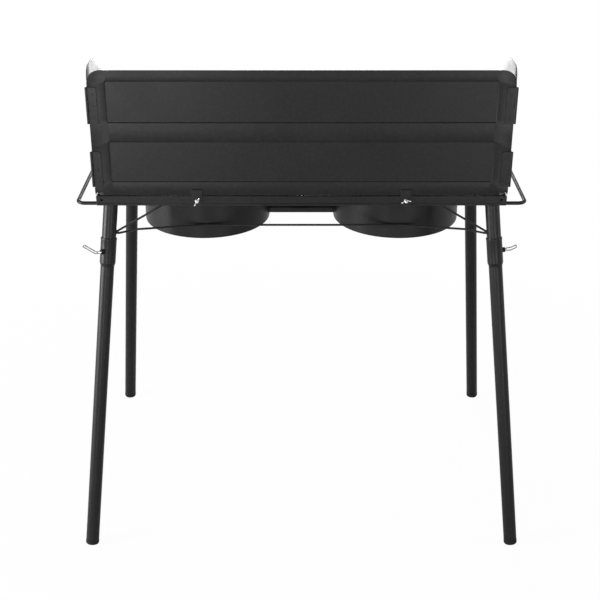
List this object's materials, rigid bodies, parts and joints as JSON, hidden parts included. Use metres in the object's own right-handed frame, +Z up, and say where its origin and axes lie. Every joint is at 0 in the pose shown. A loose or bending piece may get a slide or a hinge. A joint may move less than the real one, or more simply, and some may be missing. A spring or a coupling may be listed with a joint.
{
  "type": "camp gas stove",
  "caption": "Free-standing gas camp stove with ring burners in drums under drop-in grates, a folding wind screen and pull-off splayed legs.",
  "frame": {"origin": "bottom centre of the bounding box, on the floor between the feet", "axes": "+Z up, +X to the right seen from behind, +Y from the wind screen's back towards the knobs"},
  "size_m": [0.9422, 0.6566, 1.0215],
  "materials": {
    "powder_coat": "matt black powder coat, lightly textured",
    "heat_paint": "satin black heat paint",
    "zinc": "bright zinc plating",
    "brass": "turned brass",
    "iron": "bare cast iron",
    "grate_enamel": "black enamel on steel bar",
    "pipe_steel": "drawn steel pipe",
    "phenolic": "black heat-proof plastic",
    "rubber": "black rubber"
  },
  "bodies": {
    "stove": {"deck_frame": "powder_coat", "control_panel": "powder_coat", "burner_support_bar": "powder_coat", "gas_manifold": "pipe_steel", "hose_inlet": "brass", "truss_rod_rear": "powder_coat", "truss_rod_front": "powder_coat", "leg_stub_rear_left": "powder_coat", "leg_stub_rear_right": "powder_coat", "leg_stub_front_left": "powder_coat", "leg_stub_front_right": "powder_coat", "clip_bolt_left": "zinc", "side_handle_left": "powder_coat", "burner_drum_left": "heat_paint", "burner_head_left": "iron", "mixer_tube_left": "pipe_steel", "gas_valve_left": "brass", "clip_bolt_right": "zinc", "side_handle_right": "powder_coat", "burner_drum_right": "heat_paint", "burner_head_right": "iron", "mixer_tube_right": "pipe_steel", "gas_valve_right": "brass"},
    "windscreen": {"windscreen_back": "powder_coat", "hinge_leaf_back_lower_left": "powder_coat", "hinge_leaf_back_upper_left": "powder_coat", "panel_clip_left": "powder_coat", "hinge_leaf_back_lower_right": "powder_coat", "hinge_leaf_back_upper_right": "powder_coat", "panel_clip_right": "powder_coat"},
    "side_screen_left": {"windscreen_left": "powder_coat", "hinge_leaf_side_lower_left": "powder_coat", "hinge_leaf_side_upper_left": "powder_coat"},
    "wing_nut_left": {"wing_nut_left": "zinc"},
    "knob_left": {"knob_left": "phenolic", "valve_stem_left": "brass"},
    "grate_left": {"grate_left": "grate_enamel"},
    "side_screen_right": {"windscreen_right": "powder_coat", "hinge_leaf_side_lower_right": "powder_coat", "hinge_leaf_side_upper_right": "powder_coat"},
    "wing_nut_right": {"wing_nut_right": "zinc"},
    "knob_right": {"knob_right": "phenolic", "valve_stem_right": "brass"},
    "grate_right": {"grate_right": "grate_enamel"},
    "leg_rear_left": {"leg_rear_left": "powder_coat", "foot_rear_left": "rubber"},
    "thumb_screw_rear_left": {"thumb_screw_rear_left": "zinc"},
    "leg_rear_right": {"leg_rear_right": "powder_coat", "foot_rear_right": "rubber"},
    "thumb_screw_rear_right": {"thumb_screw_rear_right": "zinc"},
    "leg_front_left": {"leg_front_left": "powder_coat", "foot_front_left": "rubber"},
    "thumb_screw_front_left": {"thumb_screw_front_left": "zinc"},
    "leg_front_right": {"leg_front_right": "powder_coat", "foot_front_right": "rubber"},
    "thumb_screw_front_right": {"thumb_screw_front_right": "zinc"}
  },
  "joints": [
    {"name": "windscreen_lift", "type": "slide", "parent": "stove", "child": "windscreen", "axis": [0, 0, 1], "range_m": [0, 0.06]},
    {"name": "side_screen_fold_left", "type": "hinge", "parent": "windscreen", "child": "side_screen_left", "pos_m": [-0.4118, -0.1949, 0.8925], "axis": [0, 0, 1], "range_deg": [0, 255]},
    {"name": "knob_turn_left", "type": "hinge", "parent": "stove", "child": "knob_left", "pos_m": [-0.204, 0.2055, 0.697], "axis": [0, 1, 0], "range_deg": [0, 150]},
    {"name": "wing_nut_turn_left", "type": "hinge", "parent": "stove", "child": "wing_nut_left", "pos_m": [-0.208, -0.2, 0.7544], "axis": [0, 1, 0], "continuous": true},
    {"name": "grate_lift_left", "type": "slide", "parent": "stove", "child": "grate_left", "axis": [0, 0, 1], "range_m": [0, 0.06]},
    {"name": "side_screen_fold_right", "type": "hinge", "parent": "windscreen", "child": "side_screen_right", "pos_m": [0.4118, -0.1949, 0.8925], "axis": [0, 0, -1], "range_deg": [0, 255]},
    {"name": "knob_turn_right", "type": "hinge", "parent": "stove", "child": "knob_right", "pos_m": [0.204, 0.2055, 0.697], "axis": [0, 1, 0], "range_deg": [0, 150]},
    {"name": "wing_nut_turn_right", "type": "hinge", "parent": "stove", "child": "wing_nut_right", "pos_m": [0.208, -0.2, 0.7544], "axis": [0, 1, 0], "continuous": true},
    {"name": "grate_lift_right", "type": "slide", "parent": "stove", "child": "grate_right", "axis": [0, 0, 1], "range_m": [0, 0.06]},
    {"name": "leg_pull_rear_left", "type": "slide", "parent": "stove", "child": "leg_rear_left", "axis": [-0.0945, -0.1956, -0.9761], "range_m": [0, 0.052]},
    {"name": "leg_pull_rear_right", "type": "slide", "parent": "stove", "child": "leg_rear_right", "axis": [0.0945, -0.1956, -0.9761], "range_m": [0, 0.052]},
    {"name": "leg_pull_front_left", "type": "slide", "parent": "stove", "child": "leg_front_left", "axis": [-0.0945, 0.1956, -0.9761], "range_m": [0, 0.052]},
    {"name": "leg_pull_front_right", "type": "slide", "parent": "stove", "child": "leg_front_right", "axis": [0.0945, 0.1956, -0.9761], "range_m": [0, 0.052]},
    {"name": "thumb_screw_turn_rear_left", "type": "hinge", "parent": "leg_rear_left", "child": "thumb_screw_rear_left", "pos_m": [-0.40746, -0.20396, 0.64531], "axis": [-0.571, -0.7925, 0.2141], "continuous": true},
    {"name": "thumb_screw_turn_rear_right", "type": "hinge", "parent": "leg_rear_right", "child": "thumb_screw_rear_right", "pos_m": [0.41636, -0.1821, 0.64179], "axis": [0.9772, 0.2053, 0.0535], "continuous": true},
    {"name": "thumb_screw_turn_front_left", "type": "hinge", "parent": "leg_front_left", "child": "thumb_screw_front_left", "pos_m": [-0.41544, 0.19356, 0.64399], "axis": [-0.9355, 0.3179, 0.1543], "continuous": true},
    {"name": "thumb_screw_turn_front_right", "type": "hinge", "parent": "leg_front_right", "child": "thumb_screw_front_right", "pos_m": [0.41601, 0.18065, 0.64146], "axis": [0.9616, -0.2717, 0.0387], "continuous": true}
  ]
}
